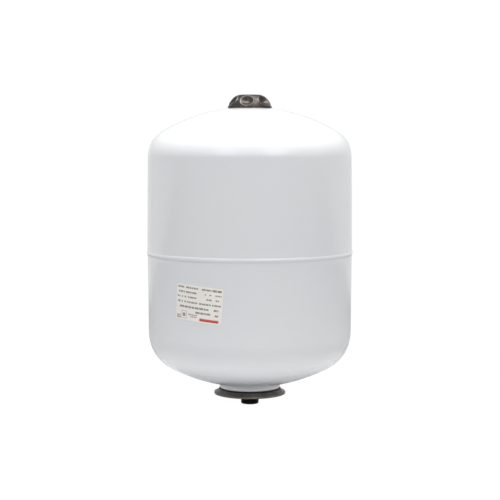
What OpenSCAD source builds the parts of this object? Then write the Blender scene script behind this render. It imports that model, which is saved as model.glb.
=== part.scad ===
// Expansion vessel with a replaceable bladder. Two drawn steel shells are lap welded into a
// closed body. A bolted counter flange below carries the threaded water nipple and clamps the
// bladder's lip, and a cover that screws on above shields the air valve.
// Millimetres, +Z up along the axis, origin at the lower end of the water nipple.

/* [Shells] */
// Outside diameter at the seam
shell_d = 300; // [290:1:310]
// Thickness of the drawn sheet
sheet_t = 1.2; // [0.9:0.1:1.5]
// How much the straight walls narrow towards each head, on radius
wall_draft = 1.3; // [0.8:0.1:1.6]
// Height of the seam above the nipple's end
seam_z = 227; // [222:1:240]
// Straight wall of the upper shell
upper_wall_h = 137; // [110:1:160]
// Straight wall of the lower shell
lower_wall_h = 120; // [110:1:125]
// Crown radius of the upper head
upper_crown_r = 248.6; // [240:0.2:260]
// Knuckle radius of the upper head
upper_knuckle_r = 43.4; // [40:0.2:50]
// Crown radius of the lower head
lower_crown_r = 251; // [245:0.5:260]
// Knuckle radius of the lower head
lower_knuckle_r = 57; // [52:0.5:60]
// How far the lower shell's rim reaches up inside the upper shell
lap_h = 13; // [8:1:18]
// Height of the joggle that brings that rim inwards
joggle_h = 5; // [4:0.5:7]

/* [Welds] */
// Width of the seam bead, measured up the wall
bead_w = 6; // [5:0.5:8]
// How far the seam bead stands proud of the wall
bead_proud = 1.05; // [0.6:0.05:1.5]
// Leg of the fillet weld around the neck ring
neck_weld_leg = 2.6; // [2:0.1:3.2]
// Leg of the fillet weld around the valve boss
boss_weld_leg = 1.3; // [1:0.1:1.4]

/* [Neck and counter flange] */
// Outside diameter of the neck ring
neck_d = 89; // [87:0.5:91]
// Bore of the neck ring
neck_bore_d = 50.4; // [49:0.2:52]
// Height of the neck ring's lower face
neck_z = 24.5; // [24:0.5:26]
// Height of the neck ring
neck_h = 15.5; // [14:0.5:18]
// Outside diameter of the counter flange
flange_d = 105; // [100:1:110]
// Thickness of the counter flange
flange_t = 3; // [2.5:0.1:3.5]
// How far the flange's middle is dished above its rim, which leaves room for the bolt heads
dish_h = 4; // [3:0.5:4]
// Circle on which the flange bolts stand
bolt_circle_d = 72; // [70:0.5:74]
// Number of flange bolts
bolt_count = 6; // [4:1:8]
// Thread diameter of the flange bolts
bolt_d = 6; // [5:1:6]
// Length of a flange bolt under its head
bolt_l = 16; // [14:1:16]

/* [Water nipple] */
// Outside diameter of the pipe thread
nipple_d = 26.44; // [26:0.02:27]
// Free length of the nipple below the flange's rim
nipple_l = 15; // [13:0.5:16]
// Waterway through the nipple
nipple_bore_d = 20; // [18:0.5:21]
// Chamfer at the start of the thread
nipple_chamfer = 1; // [0.6:0.1:1.5]

/* [Bladder] */
// Largest diameter of the bag
bag_d = 200; // [180:5:220]
// Length of the bag if it closed at both ends
bag_h = 330; // [300:5:340]
// Wall of the bag
bag_t = 2; // [1.5:0.1:2.5]
// Outside diameter of the clamped lip
lip_d = 90; // [88:0.5:92]

/* [Air valve] */
// Thread diameter on the outside of the boss, which the cover screws onto
boss_thread_d = 20.96; // [20.9:0.02:21]
// Pitch of that thread
boss_pitch = 1.814; // [1.5:0.001:2]
// Diameter of the boss where it is welded into the shell
boss_base_d = 26; // [25:0.5:27]
// Shank diameter of the valve stem
stem_shank_d = 9.72; // [9.4:0.02:10]
// Thread diameter of the valve stem's tip
stem_tip_d = 7.7; // [7.6:0.05:7.8]
// Width across flats of the valve stem's hexagon
stem_hex_af = 13; // [12:0.5:14]
// Travel of the valve pin when pressed
pin_travel = 1.5; // [1:0.1:1.8]

/* [Cover] */
// Diameter over the lip of the cover
cover_lip_d = 64.8; // [64:0.2:66]
// Radius of the dome's arc
dome_r = 31.7; // [31.4:0.1:32]
// Wall of the cover
cover_t = 2; // [1.6:0.1:2.2]
// Number of finger dimples
dimple_count = 6; // [4:1:6]
// Radius of a dimple where it meets the dome
dimple_r = 9; // [8:0.5:9]
// Depth of a dimple below the dome
dimple_depth = 4.5; // [3:0.25:5]
// Angle of the dimples' axes above the horizontal
dimple_tilt = 38.5; // [38:0.5:42]
// Turn of the first dimple from the front
dimple_turn = -9; // [-30:1:30]

/* [Rating label] */
// Width of the label around the wall
label_w = 75; // [60:1:90]
// Height of the label
label_h = 50; // [40:1:55]
// Height of the label's middle
label_z = 162.5; // [150:0.5:175]
// Turn of the label from the front, positive towards +X
label_turn = -29; // [-60:1:60]
// Tilt of the label on the wall
label_tilt = -4.5; // [-6:0.5:6]
// Corner radius of the label
label_corner_r = 3; // [1:0.5:6]

/* [Hidden] */
$fn = 96;
tiny = 0.01;             // shift that keeps cutters clear of the faces they pass
front = -90;             // direction of the vessel's front in the XY plane, degrees

// Shells
shell_r = shell_d / 2;
lower_step = 0.3;        // the lower shell is this much smaller on radius
lower_r = shell_r - lower_step;
lap_clearance = 0.2;
rim_r = shell_r - sheet_t - lap_clearance;
upper_tangent_z = seam_z + upper_wall_h;
upper_tangent_r = shell_r - wall_draft;
lower_tangent_z = seam_z - lower_wall_h;
lower_tangent_r = lower_r - wall_draft;
upper_centre_z = upper_tangent_z - crown_drop(upper_tangent_r, upper_knuckle_r, upper_crown_r);
lower_centre_z = lower_tangent_z + crown_drop(lower_tangent_r, lower_knuckle_r, lower_crown_r);
apex_z = upper_centre_z + upper_crown_r;

// Neck, flange and nipple
neck_r = neck_d / 2;
neck_shell_z = lower_centre_z - sqrt(pow(lower_crown_r, 2) - pow(neck_r, 2));
neck_round = 3;
flange_z = nipple_l;
plate_z = flange_z + dish_h;
flange_top_z = plate_z + flange_t;
flange_edge = 0.8;
shoulder_r = max(neck_d, lip_d) / 2 + 1;   // where the flange's skirt starts to slope down
skirt_run = 2;           // the skirt starts this much further in on its underside
rim_w = 3.5;             // flat width of the rim's lower face
bolt_clearance = 0.3;
bolt_head_h = 4;
bolt_head_af = 10;
tap_depth = 12.5;
spigot_step = 0.8;       // the nipple is turned down this much on radius inside the flange
spigot_r = nipple_d / 2 - spigot_step;
spigot_h = flange_t + 1.5;
nipple_weld_leg = 1.4;

// Bladder
bag_r = bag_d / 2;
bag_half_h = bag_h / 2;
bag_bottom_z = 40;
bag_centre_z = bag_bottom_z + bag_half_h;
mouth_clearance = 0.5;
mouth_r = neck_bore_d / 2 - mouth_clearance;
mouth_t = 2.5;

// Air valve, with heights measured from the shell's apex
boss_base_r = boss_base_d / 2;
boss_thread_r = boss_thread_d / 2;
boss_bottom_z = apex_z - 5.5;
boss_shoulder_z = apex_z + 1.1;
boss_top_z = apex_z + 7.9;
boss_shell_z = upper_centre_z + sqrt(pow(upper_crown_r, 2) - pow(boss_base_r, 2));
boss_chamfer = 0.6;
seal_t = 0.6;
seal_d = 14;
hex_z = boss_top_z + seal_t;
hex_h = 2.6;
stem_top_z = hex_z + hex_h + 3.7;
stem_chamfer = 0.4;
core_thread_r = 2.6;
core_barrel_r = 1.75;
core_bore_r = 1.35;
core_way_r = 0.95;
core_top_z = stem_top_z - 1.1;
core_shoulder_z = core_top_z - 3.7;
core_bottom_z = core_shoulder_z - 5.1;
core_floor = 0.8;
guide_r = 0.66;
guide_h = 0.8;
pin_r = 0.6;
pin_top_z = stem_top_z - 0.4;
pin_collar_r = 1.25;
pin_collar_h = 0.5;
pin_collar_z = core_top_z - 2.6;
poppet_r = 1.7;
poppet_h = 1.6;
poppet_gap = 0.02;
poppet_z = core_bottom_z - poppet_gap - poppet_h;
pin_head_r = 1.5;
pin_head_h = 0.8;
pin_bottom_z = poppet_z - pin_head_h;
spring_turns = 6;
spring_r = 0.97;
spring_wire_r = 0.15;
spring_z = core_bottom_z + core_floor;

// Cover
cover_lip_r = cover_lip_d / 2;
cover_z = apex_z - 1.6;
lip_h = 2.4;
lip_step = 0.4;
dome_offset = 1.6;       // the dome's arc is centred this far off the axis
dome_centre_z = cover_z - 9.1;
crown_blend_r = 7.9;     // rounding from the dome to the flat top
crown_angle = 58;
crown_r = dome_offset + (dome_r - crown_blend_r) * cos(crown_angle);
crown_z = dome_centre_z + (dome_r - crown_blend_r) * sin(crown_angle);
washer_gap = 0.05;
washer_t = 1.5;
washer_z = boss_shoulder_z + washer_gap;
hub_z = washer_z + washer_t;
hub_d = 31;
insert_d = 25.6;
insert_h = 6.8;
thread_clearance = 0.07;
dimple_chord = sqrt(pow(dome_r, 2) - pow(dimple_r, 2));
dimple_sag = dimple_depth - (dome_r - dimple_chord);
dimple_ball_r = (pow(dimple_r, 2) + pow(dimple_sag, 2)) / (2 * dimple_sag);
dimple_ball_dist = dimple_chord - dimple_sag + dimple_ball_r;

// Label
label_t = 0.15;
label_lift = 0.02;
label_chord = 2 * shell_r * sin(label_w / shell_r * 90 / PI);

// Distance from a head's tangent line back to the centre of its crown
function crown_drop(tangent_r, knuckle_r, crown_r) =
    sqrt(pow(crown_r - knuckle_r, 2) - pow(tangent_r - knuckle_r, 2));

// Angle at which the knuckle hands over to the crown
function crown_start(tangent_r, knuckle_r, crown_r) =
    acos((tangent_r - knuckle_r) / (crown_r - knuckle_r));

// Points along an arc, from one angle to another
function arc(centre, r, from, to, steps) =
    [for (i = [0 : steps]) let (a = from + (to - from) * i / steps)
        centre + r * [cos(a), sin(a)]];

// A dished head from its tangent line to a hole: side 1 rises and -1 falls, and inset is how
// far the line lies inside the outer face
function head_line(tangent_r, tangent_z, knuckle_r, crown_r, hole_r, side, inset) =
    let (handover = crown_start(tangent_r, knuckle_r, crown_r),
         centre_z = tangent_z - side * crown_drop(tangent_r, knuckle_r, crown_r),
         last = acos(hole_r / (crown_r - inset)))
    concat(
        arc([tangent_r - knuckle_r, tangent_z], knuckle_r - inset, 0, side * handover, 14),
        arc([0, centre_z], crown_r - inset, side * handover, side * last, 10));

function reverse(list) = [for (i = [len(list) - 1 : -1 : 0]) list[i]];

module turned(points) rotate_extrude() polygon(points);

module ring(inner_r, outer_r, h) {
    difference() {
        cylinder(r = outer_r, h = h);
        translate([0, 0, -tiny]) cylinder(r = inner_r, h = h + 2 * tiny);
    }
}

// Copies of a child around the axis, the first one at the front
module around(count, turn = 0) {
    for (i = [0 : count - 1]) rotate(front + turn + i * 360 / count) children();
}

module upper_shell() {
    outer = concat(
        [[shell_r, seam_z - 0.5]],
        head_line(upper_tangent_r, upper_tangent_z, upper_knuckle_r, upper_crown_r,
                  boss_base_r, 1, 0));
    inner = concat(
        [[shell_r - sheet_t, seam_z - 0.5]],
        head_line(upper_tangent_r, upper_tangent_z, upper_knuckle_r, upper_crown_r,
                  boss_base_r, 1, sheet_t));
    color([0.90, 0.91, 0.92]) turned(concat(outer, reverse(inner)));
}

// The joggled rim of the lower shell: the wall's line, inset from its outer face
function rim_line(inset) = [
    [rim_r - inset, seam_z - 0.5 + lap_h],
    [rim_r - inset, seam_z - 0.5],
    [lower_r - inset, seam_z - 0.5 - joggle_h]];

module lower_shell() {
    outer = concat(rim_line(0),
        head_line(lower_tangent_r, lower_tangent_z, lower_knuckle_r, lower_crown_r,
                  neck_r, -1, 0));
    inner = concat(rim_line(sheet_t),
        head_line(lower_tangent_r, lower_tangent_z, lower_knuckle_r, lower_crown_r,
                  neck_r, -1, sheet_t));
    color([0.89, 0.90, 0.91]) turned(concat(outer, reverse(inner)));
}

// The bead fills the joggle below the upper shell's edge and crowns over both walls
module seam_weld() {
    toe_low = [lower_r - 0.22, seam_z + 0.5 - joggle_h];
    toe_high = [shell_r, toe_low[1] + bead_w];
    bow = (bead_w * bead_w / 4 + bead_proud * bead_proud) / (2 * bead_proud);
    half = asin(bead_w / 2 / bow);
    middle = [shell_r + bead_proud - bow, (toe_low[1] + toe_high[1]) / 2];
    face = arc(middle, bow, -half, half, 12);
    color([0.92, 0.93, 0.93]) turned(concat(
        [toe_low], face, [toe_high, [shell_r, seam_z - 0.5], [rim_r, seam_z - 0.5]]));
}

module neck_ring() {
    bore_r = neck_bore_d / 2;
    top_z = neck_z + neck_h;
    color([0.86, 0.88, 0.90]) difference() {
        turned(concat(
            [[bore_r, neck_z], [neck_r, neck_z], [neck_r, top_z]],
            arc([bore_r + neck_round, top_z - neck_round], neck_round, 90, 180, 6)));
        around(bolt_count) translate([bolt_circle_d / 2, 0, neck_z - tiny])
            cylinder(d = bolt_d, h = tap_depth + tiny, $fn = 48);
    }
}

module neck_weld() {
    color([0.88, 0.89, 0.90]) turned([
        [neck_r, neck_shell_z],
        [neck_r, neck_shell_z - neck_weld_leg],
        [neck_r + 0.35 * neck_weld_leg, neck_shell_z - 0.55 * neck_weld_leg],
        [neck_r + neck_weld_leg, neck_shell_z + 0.16 * neck_weld_leg]]);
}

// Half of an egg-shaped bag, from its mouth to its closed top
function bag_line(start_r, wide, tall) =
    let (first = -acos(start_r / wide))
    [for (i = [0 : 24]) let (a = first + (90 - first) * i / 24)
        [wide * cos(a), bag_centre_z + tall * sin(a)]];

module bladder() {
    inner_mouth_r = mouth_r - mouth_t;
    outer = bag_line(mouth_r, bag_r, bag_half_h);
    inner = bag_line(inner_mouth_r, bag_r - bag_t, bag_half_h - bag_t);
    color([0.12, 0.12, 0.13]) difference() {
        turned(concat(
            [[inner_mouth_r, flange_top_z], [lip_d / 2, flange_top_z],
             [lip_d / 2, neck_z], [mouth_r, neck_z]],
            outer, reverse(inner)));
        around(bolt_count) translate([bolt_circle_d / 2, 0, flange_top_z - tiny])
            cylinder(d = bolt_d + 2 * bolt_clearance, h = neck_z - flange_top_z + 2 * tiny,
                     $fn = 48);
    }
}

// A dished plate: its flat middle presses on the bladder's lip and its skirt slopes to the rim
module counter_flange() {
    edge_r = flange_d / 2 - flange_edge;
    color([0.42, 0.39, 0.36]) difference() {
        turned(concat(
            [[spigot_r, plate_z], [shoulder_r - skirt_run, plate_z],
             [flange_d / 2 - rim_w, flange_z]],
            arc([edge_r, flange_z + flange_edge], flange_edge, -90, 0, 5),
            arc([edge_r, flange_z + flange_t - flange_edge], flange_edge, 0, 90, 5),
            [[shoulder_r, flange_top_z], [spigot_r, flange_top_z]]));
        around(bolt_count) translate([bolt_circle_d / 2, 0, plate_z - tiny])
            cylinder(d = bolt_d + 2 * bolt_clearance, h = flange_t + 2 * tiny, $fn = 48);
    }
}

module water_nipple() {
    thread_r = nipple_d / 2;
    bore_r = nipple_bore_d / 2;
    color([0.20, 0.19, 0.19]) turned([
        [bore_r, 0], [thread_r - nipple_chamfer, 0], [thread_r, nipple_chamfer],
        [thread_r, plate_z], [spigot_r, plate_z], [spigot_r, plate_z + spigot_h],
        [bore_r, plate_z + spigot_h]]);
}

module nipple_weld() {
    color([0.45, 0.42, 0.40]) turned([
        [spigot_r, flange_top_z], [spigot_r + nipple_weld_leg, flange_top_z],
        [spigot_r + 0.4 * nipple_weld_leg, flange_top_z + 0.4 * nipple_weld_leg],
        [spigot_r, flange_top_z + nipple_weld_leg]]);
}

module hexagon(af, h) cylinder(r = af / 2 / cos(30), h = h, $fn = 6);

module flange_bolt() {
    corner_r = bolt_head_af / 2 / cos(30);
    translate([0, 0, -bolt_head_h]) intersection() {
        hexagon(bolt_head_af, bolt_head_h);
        cylinder(r1 = bolt_head_af / 2 * 0.97, r2 = corner_r + 3 * bolt_head_h,
                 h = bolt_head_h);
    }
    translate([0, 0, -tiny]) cylinder(d = bolt_d, h = bolt_l + tiny, $fn = 48);
}

module flange_bolts() {
    color([0.45, 0.44, 0.42]) around(bolt_count)
        translate([bolt_circle_d / 2, 0, plate_z]) flange_bolt();
}

module valve_boss() {
    bore_r = stem_shank_d / 2;
    color([0.70, 0.70, 0.70]) turned([
        [bore_r, boss_bottom_z], [boss_base_r, boss_bottom_z], [boss_base_r, boss_shoulder_z],
        [boss_thread_r, boss_shoulder_z], [boss_thread_r, boss_top_z - boss_chamfer],
        [boss_thread_r - boss_chamfer, boss_top_z], [bore_r, boss_top_z]]);
}

module boss_weld() {
    color([0.60, 0.58, 0.56]) turned([
        [boss_base_r, boss_shell_z],
        [boss_base_r + 1.6 * boss_weld_leg, boss_shell_z - 0.1],
        [boss_base_r + 0.6 * boss_weld_leg, boss_shell_z + 0.45 * boss_weld_leg],
        [boss_base_r, boss_shell_z + boss_weld_leg]]);
}

module valve_seal() {
    color([0.10, 0.10, 0.10]) translate([0, 0, boss_top_z])
        ring(stem_shank_d / 2, seal_d / 2, seal_t);
}

module valve_stem() {
    bottom_z = apex_z - 3.5;
    wide_r = 3;
    throat_r = 2.05;
    throat_z = core_shoulder_z - 5;
    cone_z = core_shoulder_z - 1.3;
    thread_z = core_shoulder_z - 0.5;
    thread_r = core_thread_r + 0.02;
    tip_r = stem_tip_d / 2;
    color([0.80, 0.66, 0.36]) difference() {
        union() {
            translate([0, 0, bottom_z])
                cylinder(d = stem_shank_d, h = hex_z - bottom_z + tiny);
            translate([0, 0, hex_z]) hexagon(stem_hex_af, hex_h);
            turned([[0, hex_z + hex_h - tiny], [tip_r, hex_z + hex_h - tiny],
                    [tip_r, stem_top_z - stem_chamfer],
                    [tip_r - stem_chamfer, stem_top_z], [0, stem_top_z]]);
        }
        turned([[0, bottom_z - tiny], [wide_r, bottom_z - tiny], [wide_r, throat_z],
                [throat_r, throat_z], [throat_r, cone_z], [thread_r, thread_z],
                [thread_r, stem_top_z + tiny], [0, stem_top_z + tiny]]);
    }
}

module core_body() {
    tang_w = 2.4;
    tang_h = 1.6;
    color([0.82, 0.68, 0.38]) difference() {
        turned([
            [core_way_r, core_bottom_z], [core_barrel_r, core_bottom_z],
            [core_barrel_r, core_shoulder_z], [core_thread_r, core_shoulder_z],
            [core_thread_r, core_top_z], [guide_r, core_top_z],
            [guide_r, core_top_z - guide_h], [core_bore_r, core_top_z - guide_h],
            [core_bore_r, core_bottom_z + core_floor], [core_way_r, core_bottom_z + core_floor]]);
        for (side = [-1, 1])
            translate([side * (tang_w / 2 + core_thread_r), 0, core_top_z - tang_h / 2 + tiny])
                cube([2 * core_thread_r, 3 * core_thread_r, tang_h], center = true);
    }
}

module core_seal() {
    top_r = core_thread_r - 0.02;
    color([0.90, 0.30, 0.20]) turned([
        [core_barrel_r, core_shoulder_z - 1.2], [core_barrel_r + 0.35, core_shoulder_z - 1.2],
        [top_r, core_shoulder_z - 0.5], [top_r, core_shoulder_z],
        [core_barrel_r, core_shoulder_z]]);
}

module core_pin() {
    color([0.82, 0.68, 0.38]) turned([
        [0, pin_bottom_z], [pin_head_r, pin_bottom_z], [pin_head_r, poppet_z],
        [pin_r, poppet_z], [pin_r, pin_collar_z], [pin_collar_r, pin_collar_z],
        [pin_collar_r, pin_collar_z + pin_collar_h], [pin_r, pin_collar_z + pin_collar_h],
        [pin_r, pin_top_z], [0, pin_top_z]]);
}

module poppet_seal() {
    color([0.12, 0.12, 0.12]) translate([0, 0, poppet_z]) ring(pin_r, poppet_r, poppet_h);
}

// One coil spring swept as a tube of few sides: rings of points follow the helix
module core_spring() {
    sides = 8;
    steps = 16 * spring_turns;
    rise = pin_collar_z - spring_z - 2 * spring_wire_r - 2 * tiny;
    points = [for (i = [0 : steps], k = [0 : sides - 1])
        let (a = i / steps * spring_turns * 360, b = k / sides * 360,
             r = spring_r + spring_wire_r * cos(b))
        [r * cos(a), r * sin(a),
         spring_z + tiny + spring_wire_r + rise * i / steps + spring_wire_r * sin(b)]];
    walls = [for (i = [0 : steps - 1], k = [0 : sides - 1])
        let (n = (k + 1) % sides)
        [i * sides + k, (i + 1) * sides + k, (i + 1) * sides + n, i * sides + n]];
    ends = [[for (k = [0 : sides - 1]) k],
            [for (k = [sides - 1 : -1 : 0]) steps * sides + k]];
    color([0.75, 0.76, 0.78]) polyhedron(points = points, faces = concat(walls, ends));
}

module cover_washer() {
    color([0.15, 0.15, 0.15]) translate([0, 0, washer_z])
        ring(boss_thread_r + 0.2, hub_d / 2 - 0.1, washer_t);
}

// The dome from the lip to the axis: inset is how far the line lies inside the outer face
function dome_line(inset, first) = concat(
    arc([dome_offset, dome_centre_z], dome_r - inset, first, crown_angle, 12),
    arc([crown_r, crown_z], crown_blend_r - inset, crown_angle, 90, 6),
    [[0, crown_z + crown_blend_r - inset]]);

module dome_block() {
    lip_top = cover_z + lip_h;
    first = asin((lip_top - dome_centre_z) / dome_r);
    turned(concat(
        [[0, cover_z], [cover_lip_r, cover_z], [cover_lip_r, lip_top - lip_step],
         [cover_lip_r - lip_step, lip_top]],
        dome_line(0, first)));
}

// Places a ball on the axis of each dimple
module dimple_balls(r) {
    around(dimple_count, dimple_turn)
        translate([dome_offset + dimple_ball_dist * cos(dimple_tilt), 0,
                   dome_centre_z + dimple_ball_dist * sin(dimple_tilt)]) sphere(r = r);
}

module valve_cover() {
    first = asin((cover_z - dome_centre_z) / (dome_r - cover_t));
    hollow = concat([[0, cover_z - tiny],
                     [dome_line(cover_t, first)[0][0], cover_z - tiny]],
                    dome_line(cover_t, first));
    color([0.36, 0.34, 0.32]) difference() {
        union() {
            difference() {
                dome_block();
                difference() {
                    turned(hollow);
                    dimple_balls(dimple_ball_r + cover_t);
                }
            }
            translate([0, 0, hub_z])
                ring(insert_d / 2, hub_d / 2, crown_z + crown_blend_r - cover_t - hub_z + 0.5);
        }
        dimple_balls(dimple_ball_r);
    }
}

module cover_insert() {
    color([0.78, 0.64, 0.35]) translate([0, 0, hub_z])
        ring(boss_thread_r + thread_clearance, insert_d / 2, insert_h);
}

module rating_label() {
    low_z = label_z - label_h;
    high_z = label_z + label_h;
    slope = wall_draft / (seam_z - 0.5 - joggle_h - lower_tangent_z);
    wall_low = lower_tangent_r + (low_z - lower_tangent_z) * slope + label_lift;
    wall_high = lower_tangent_r + (high_z - lower_tangent_z) * slope + label_lift;
    color([0.86, 0.84, 0.80]) intersection() {
        turned([[wall_low, low_z], [wall_low + label_t, low_z],
                [wall_high + label_t, high_z], [wall_high, high_z]]);
        translate([0, 0, label_z]) rotate([0, 0, front + label_turn]) rotate([90, 0, 90])
            rotate(label_tilt) linear_extrude(shell_d)
                rounded_plate(label_chord, label_h, label_corner_r);
    }
}

// A centred rectangle with round corners, built from squares and circles
module rounded_plate(w, h, r) {
    square([w - 2 * r, h], center = true);
    square([w, h - 2 * r], center = true);
    for (x = [-1, 1], y = [-1, 1])
        translate([x * (w / 2 - r), y * (h / 2 - r)]) circle(r = r, $fn = 32);
}

upper_shell();
lower_shell();
seam_weld();
neck_ring();
neck_weld();
bladder();
counter_flange();
water_nipple();
nipple_weld();
flange_bolts();
valve_boss();
boss_weld();
valve_seal();
valve_stem();
core_body();
core_seal();
core_pin();
core_spring();
poppet_seal();
cover_washer();
valve_cover();
cover_insert();
rating_label();
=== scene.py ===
"""Looks of the expansion vessel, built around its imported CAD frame. Metres, +Z up, -Y is the front."""
import math
import random

import bmesh
import bpy
import numpy as np
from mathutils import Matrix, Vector


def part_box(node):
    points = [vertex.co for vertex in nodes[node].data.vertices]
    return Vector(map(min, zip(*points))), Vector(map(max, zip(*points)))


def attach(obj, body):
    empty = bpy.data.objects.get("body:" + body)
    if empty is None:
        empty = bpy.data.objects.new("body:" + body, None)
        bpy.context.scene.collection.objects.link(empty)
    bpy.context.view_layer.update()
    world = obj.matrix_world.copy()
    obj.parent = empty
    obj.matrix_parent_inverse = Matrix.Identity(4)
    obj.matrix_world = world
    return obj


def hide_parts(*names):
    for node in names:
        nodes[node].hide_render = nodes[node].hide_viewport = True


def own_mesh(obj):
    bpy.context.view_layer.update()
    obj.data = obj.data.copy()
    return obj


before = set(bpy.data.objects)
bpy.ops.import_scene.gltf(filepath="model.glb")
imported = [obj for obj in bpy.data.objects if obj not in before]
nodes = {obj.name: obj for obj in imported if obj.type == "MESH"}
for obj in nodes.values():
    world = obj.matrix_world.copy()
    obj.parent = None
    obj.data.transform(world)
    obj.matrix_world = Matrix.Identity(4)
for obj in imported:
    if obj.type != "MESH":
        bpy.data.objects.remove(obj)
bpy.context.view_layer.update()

MM = 0.001
FRONT = -math.pi / 2

# ---------------------------------------------------------------- sizes shared with the CAD model
SHELL_R, LOWER_R = 150 * MM, 149.7 * MM     # outside radii of the two shells at the seam
SHEET = 1.2 * MM
DRAFT = 1.3 * MM                            # how much each wall narrows towards its head
UPPER_KNUCKLE, UPPER_CROWN = 43.4 * MM, 248.6 * MM
LOWER_KNUCKLE, LOWER_CROWN = 57 * MM, 251 * MM
UPPER_WALL, LOWER_WALL = 137 * MM, 120 * MM
JOGGLE, RIM_R = 5 * MM, 148.6 * MM
BEAD_W, BEAD_PROUD = 6 * MM, 0.6 * MM
NECK_LEG, BOSS_LEG, NIPPLE_LEG = 2.6 * MM, 1.3 * MM, 1.4 * MM     # the fillet welds
NECK_R, NECK_BORE_R = 44.5 * MM, 25.2 * MM
BOLT_CIRCLE_R, BOLT_R, BOLT_L, BOLT_COUNT = 36 * MM, 3 * MM, 16 * MM, 6
HEAD_H, HEAD_FLATS, WASHER_FACE_R = 4 * MM, 10 * MM, 4.6 * MM
TAP_DEPTH, CLEARANCE_R = 12.5 * MM, 3.3 * MM
FLANGE_T = 3 * MM
BAG_R, BAG_TALL, BAG_WALL, LIP_R = 100 * MM, 165 * MM, 2 * MM, 45 * MM
MOUTH_R, MOUTH_WALL = 24.7 * MM, 2.5 * MM
NIPPLE_R, NIPPLE_BORE_R, SPIGOT_R = 13.22 * MM, 10 * MM, 12.42 * MM
BOSS_R, BOSS_THREAD_R, BOSS_THREAD_L = 13 * MM, 10.48 * MM, 6.8 * MM
SHANK_R = 4.86 * MM
PIPE_PITCH, PIPE_DEPTH = 1.814 * MM, 1.162 * MM
DOME_R, DOME_OFFSET = 31.7 * MM, 1.6 * MM
CROWN_BLEND_R, CROWN_ANGLE = 7.9 * MM, math.radians(58)
COVER_T, COVER_LIP_R, LIP_HEIGHT = 2 * MM, 32.4 * MM, 2.4 * MM
HUB_R, HUB_BORE_R = 15.5 * MM, 12.8 * MM
DIMPLES, DIMPLE_TURN, DIMPLE_TILT = 6, math.radians(-9), math.radians(38.5)
LABEL_W, LABEL_H, LABEL_T = 75 * MM, 50 * MM, 0.15 * MM
LABEL_TURN, LABEL_TILT, LABEL_CORNER = math.radians(-29), math.radians(-4.5), 3 * MM

# Heights come from the frame
shell_edge_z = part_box("upper_shell")[0].z
seam_z = shell_edge_z + 0.5 * MM
upper_tangent_z = seam_z + UPPER_WALL
lower_tangent_z = seam_z - LOWER_WALL
rim_top_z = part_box("lower_shell")[1].z
neck_low_z, neck_high_z = (corner.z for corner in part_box("neck_ring"))
flange_low_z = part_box("counter_flange")[0].z
flange_high_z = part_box("bladder")[0].z
plate_low_z = flange_high_z - FLANGE_T
flange_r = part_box("counter_flange")[1].x
nipple_high_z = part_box("water_nipple")[1].z
cover_low_z, cover_high_z = (corner.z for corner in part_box("valve_cover"))
boss_low_z, boss_high_z = (corner.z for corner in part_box("valve_boss"))
bag_high_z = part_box("bladder")[1].z
hub_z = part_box("cover_insert")[0].z
spring_low_z, spring_high_z = (corner.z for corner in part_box("core_spring"))
label_z = (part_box("rating_label")[0].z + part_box("rating_label")[1].z) / 2

# ---------------------------------------------------------------- camera
LENS_MM, SENSOR_MM = 104, 36
EYE_X, EYE_DISTANCE, EYE_Z = 0.3 * MM, 2.114, 0.399
EYE_PITCH = math.radians(4.65)

camera_data = bpy.data.cameras.new("camera")
camera_data.lens = LENS_MM
camera_data.sensor_width = SENSOR_MM
camera = bpy.data.objects.new("camera", camera_data)
camera.location = (EYE_X, -EYE_DISTANCE, EYE_Z)
camera.rotation_euler = (math.pi / 2 - EYE_PITCH, 0, 0)
bpy.context.scene.collection.objects.link(camera)
bpy.context.scene.camera = camera
bpy.context.scene.view_settings.view_transform = "Standard"


# ---------------------------------------------------------------- mesh helpers
def arc(centre, radius, start, end, steps):
    """Points along an arc in the (r, z) plane; angles are in radians from the +r direction."""
    angles = np.linspace(start, end, steps + 1)
    return [(centre[0] + radius * math.cos(a), centre[1] + radius * math.sin(a)) for a in angles]


def rounded(corners, steps):
    """A closed outline from (r, z, radius) corners, each one rounded by its own radius."""
    outline = []
    for i, (r, z, radius) in enumerate(corners):
        here = Vector((r, z))
        if radius <= 0:
            outline.append((r, z))
            continue
        before = Vector(corners[i - 1][:2]) - here
        after = Vector(corners[(i + 1) % len(corners)][:2]) - here
        half = before.angle(after) / 2
        reach = min(radius / math.tan(half), before.length * 0.49, after.length * 0.49)
        start, end = here + before.normalized() * reach, here + after.normalized() * reach
        for k in range(steps + 1):
            t = k / steps
            p = start * (1 - t) ** 2 + here * 2 * t * (1 - t) + end * t ** 2
            outline.append((p.x, p.y))
    return outline


def spaced(line, step):
    """A line of (r, z) points with more between them, none further apart than step. The last one
    is left out."""
    points = []
    for (r, z), (r2, z2) in zip(line, line[1:]):
        count = max(1, math.ceil(math.hypot(r2 - r, z2 - z) / step))
        points += [(r + (r2 - r) * k / count, z + (z2 - z) * k / count) for k in range(count)]
    return points


def mesh_object(name, points, faces, crease=35):
    """A mesh object, smooth except where faces meet at more than crease degrees."""
    mesh = bpy.data.meshes.new(name)
    mesh.from_pydata([tuple(p) for p in points], [], faces)
    work = bmesh.new()
    work.from_mesh(mesh)
    bmesh.ops.remove_doubles(work, verts=work.verts, dist=1e-7)
    bmesh.ops.recalc_face_normals(work, faces=work.faces)
    work.to_mesh(mesh)
    work.free()
    mesh.shade_smooth()
    mesh.set_sharp_from_angle(angle=math.radians(crease))
    piece = bpy.data.objects.new(name, mesh)
    bpy.context.scene.collection.objects.link(piece)
    return piece


def grid_faces(rows, columns, wrap_rows, wrap_columns):
    """Quads over a grid of points stored row by row."""
    faces = []
    for i in range(rows if wrap_rows else rows - 1):
        for j in range(columns if wrap_columns else columns - 1):
            i2, j2 = (i + 1) % rows, (j + 1) % columns
            faces.append((i * columns + j, i * columns + j2, i2 * columns + j2, i2 * columns + j))
    return faces


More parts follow.
